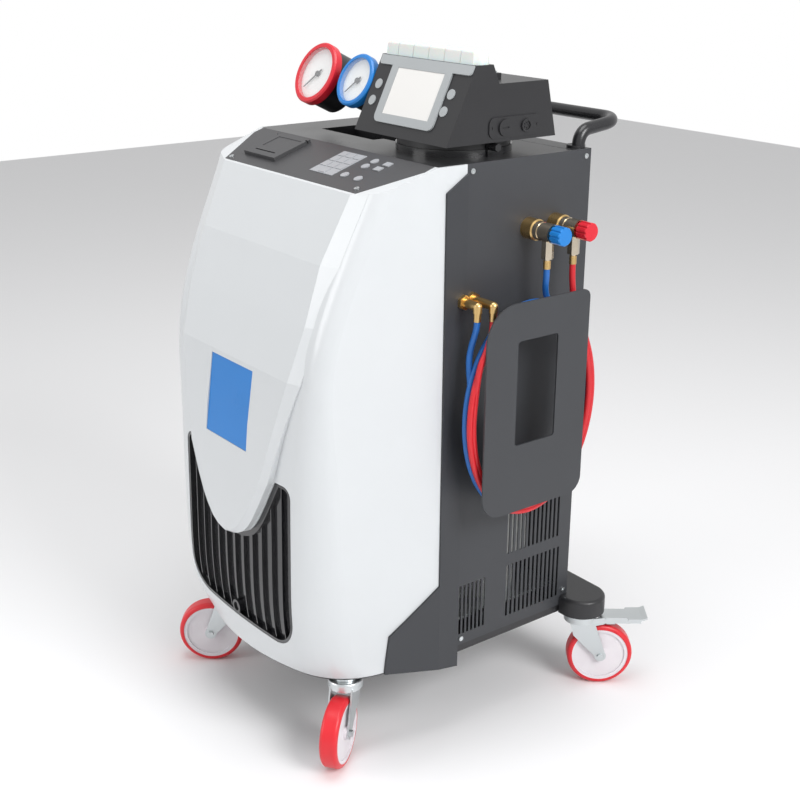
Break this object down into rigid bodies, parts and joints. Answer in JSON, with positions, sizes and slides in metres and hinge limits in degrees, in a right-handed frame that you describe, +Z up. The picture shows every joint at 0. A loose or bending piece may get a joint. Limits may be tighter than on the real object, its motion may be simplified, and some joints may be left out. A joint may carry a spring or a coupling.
{
  "type": "air conditioning recharge station",
  "caption": "Wheeled cabinet with moulded front, slanted console, swivelling display with gauges, and two charging hoses.",
  "frame": {"origin": "on the floor, under the middle of the whole machine's outer box", "axes": "+Z up, the front of the machine faces -Y, its hoses are on the +X side"},
  "size_m": [0.7282, 0.7318, 1.198],
  "materials": {
    "black_steel": "satin black powder coat",
    "black_plastic": "satin moulded plastic",
    "charcoal_paint": "fine textured powder coat",
    "black_paint": "satin powder coat",
    "pearl_shell": "pearl grey paint",
    "charcoal_plastic": "textured",
    "blue_plate": "blue, bare",
    "console_grey": "fine grain",
    "key_grey": "membrane",
    "fascia_grey": "satin",
    "screen_glass": "dark display behind a clear cover",
    "frosted_light": "frosted",
    "dial_white": "printed dial",
    "clear_lens": "clear",
    "needle_black": "satin",
    "brass": "machined",
    "nickel_brass": "nickel plated",
    "blue_knob": "moulded",
    "red_knob": "moulded",
    "blue_hose": "smooth hose cover",
    "red_hose": "smooth hose cover",
    "zinc_steel": "zinc plated",
    "aluminium": "machined",
    "tank_paint": "satin paint",
    "pump_casting": "painted casting",
    "bottle_plastic": "translucent",
    "red_tyre": "polyurethane tyre on a white nylon hub"
  },
  "bodies": {
    "cabinet": {"badge_plate": "blue_plate", "base_pan": "black_steel", "caster_stems": "zinc_steel", "compressor": "black_steel", "control_console": "console_grey", "front_grille": "black_plastic", "front_shell": "pearl_shell", "high_side_coil": "red_hose", "high_side_hose": "red_hose", "hose_ferrules": "brass", "hose_holder": "charcoal_paint", "keypad": "key_grey", "low_side_coil": "blue_hose", "low_side_hose": "blue_hose", "oil_bottles": "bottle_plastic", "panel_screws": "black_steel", "power_inlet": "black_plastic", "printer": "console_grey", "push_handle": "black_steel", "rear_beam": "black_plastic", "rear_panel": "charcoal_paint", "refrigerant_tank": "tank_paint", "service_couplers": "nickel_brass", "side_cheeks": "charcoal_plastic", "side_fittings": "brass", "side_panel_left": "charcoal_paint", "side_panel_right": "charcoal_paint", "tank_scale": "aluminium", "top_deck": "black_paint", "turntable_base": "black_plastic", "vacuum_pump": "pump_casting", "valve_manifold": "aluminium"},
    "head": {"turntable_ring": "black_plastic", "head_housing": "black_plastic", "head_fascia": "fascia_grey", "screen_panel": "screen_glass", "light_bar": "frosted_light", "side_ports": "charcoal_plastic", "gauge_cups": "black_plastic", "high_gauge_bezel": "red_knob", "low_gauge_bezel": "blue_knob", "gauge_dials": "dial_white", "gauge_lenses": "clear_lens"},
    "printer_door": {"printer_door": "console_grey"},
    "lock_knob": {"lock_knob": "black_plastic"},
    "low_coupler_knob": {"low_coupler_knob": "blue_knob"},
    "high_coupler_knob": {"high_coupler_knob": "red_knob"},
    "high_needle": {"high_needle": "needle_black"},
    "low_needle": {"low_needle": "needle_black"},
    "power_rocker": {"power_rocker": "black_plastic"},
    "brake_pedal_left": {"brake_pedal_left": "zinc_steel"},
    "brake_pedal_right": {"brake_pedal_right": "zinc_steel"},
    "fork_front_left": {"fork_front_left": "zinc_steel"},
    "wheel_front_left": {"wheel_front_left": "red_tyre"},
    "fork_front_right": {"fork_front_right": "zinc_steel"},
    "wheel_front_right": {"wheel_front_right": "red_tyre"},
    "fork_rear_left": {"fork_rear_left": "zinc_steel"},
    "wheel_rear_left": {"wheel_rear_left": "red_tyre"},
    "fork_rear_right": {"fork_rear_right": "zinc_steel"},
    "wheel_rear_right": {"wheel_rear_right": "red_tyre"}
  },
  "joints": [
    {"name": "head_swivel", "type": "hinge", "parent": "cabinet", "child": "head", "pos_m": [0.11915, 0.03162, 1.041], "axis": [0, 0, 1], "range_deg": [-35, 90]},
    {"name": "lock_knob_turn", "type": "hinge", "parent": "cabinet", "child": "lock_knob", "pos_m": [0.22415, 0.02662, 1.046], "axis": [1, 0, 0], "range_deg": [0, 360]},
    {"name": "printer_door_hinge", "type": "hinge", "parent": "cabinet", "child": "printer_door", "pos_m": [-0.12885, -0.12529, 1.02915], "axis": [-1, 0, 0], "range_deg": [0, 70]},
    {"name": "low_knob_turn", "type": "hinge", "parent": "cabinet", "child": "low_coupler_knob", "pos_m": [0.33115, 0.08362, 0.912], "axis": [1, 0, 0], "range_deg": [0, 720]},
    {"name": "high_knob_turn", "type": "hinge", "parent": "cabinet", "child": "high_coupler_knob", "pos_m": [0.33115, 0.14262, 0.912], "axis": [1, 0, 0], "range_deg": [0, 720]},
    {"name": "high_needle_turn", "type": "hinge", "parent": "head", "child": "high_needle", "pos_m": [-0.17085, -0.05138, 1.133], "axis": [0, 0.8988, -0.4383], "range_deg": [0, 270], "stiffness_Nm_per_rad": 0.0005},
    {"name": "low_needle_turn", "type": "hinge", "parent": "head", "child": "low_needle", "pos_m": [-0.04985, -0.05138, 1.132], "axis": [0, 0.8988, -0.4383], "range_deg": [0, 270], "stiffness_Nm_per_rad": 0.0005},
    {"name": "power_rocker_tilt", "type": "hinge", "parent": "cabinet", "child": "power_rocker", "pos_m": [-0.15585, 0.21962, 0.285], "axis": [1, 0, 0], "range_deg": [-9, 0]},
    {"name": "swivel_front_left", "type": "hinge", "parent": "cabinet", "child": "fork_front_left", "pos_m": [-0.20185, -0.24738, 0.14], "axis": [0, 0, 1], "continuous": true},
    {"name": "spin_front_left", "type": "hinge", "parent": "fork_front_left", "child": "wheel_front_left", "pos_m": [-0.22615, -0.27916, 0.0625], "axis": [0.7944, -0.6074, 0], "continuous": true},
    {"name": "swivel_front_right", "type": "hinge", "parent": "cabinet", "child": "fork_front_right", "pos_m": [0.19015, -0.24738, 0.14], "axis": [0, 0, 1], "continuous": true},
    {"name": "spin_front_right", "type": "hinge", "parent": "fork_front_right", "child": "wheel_front_right", "pos_m": [0.214, -0.27949, 0.0625], "axis": [0.8028, 0.5962, 0], "continuous": true},
    {"name": "swivel_rear_left", "type": "hinge", "parent": "cabinet", "child": "fork_rear_left", "pos_m": [-0.28085, 0.24562, 0.14], "axis": [0, 0, 1], "continuous": true},
    {"name": "spin_rear_left", "type": "hinge", "parent": "fork_rear_left", "child": "wheel_rear_left", "pos_m": [-0.30085, 0.28026, 0.0625], "axis": [-0.866, -0.5, 0], "continuous": true},
    {"name": "brake_left", "type": "hinge", "parent": "fork_rear_left", "child": "brake_pedal_left", "pos_m": [-0.30085, 0.28026, 0.138], "axis": [-0.866, -0.5, 0], "range_deg": [0, 9]},
    {"name": "swivel_rear_right", "type": "hinge", "parent": "cabinet", "child": "fork_rear_right", "pos_m": [0.26915, 0.24562, 0.14], "axis": [0, 0, 1], "continuous": true},
    {"name": "spin_rear_right", "type": "hinge", "parent": "fork_rear_right", "child": "wheel_rear_right", "pos_m": [0.29345, 0.2774, 0.0625], "axis": [-0.7944, 0.6074, 0], "continuous": true},
    {"name": "brake_right", "type": "hinge", "parent": "fork_rear_right", "child": "brake_pedal_right", "pos_m": [0.29345, 0.2774, 0.138], "axis": [-0.7944, 0.6074, 0], "range_deg": [0, 9]}
  ]
}
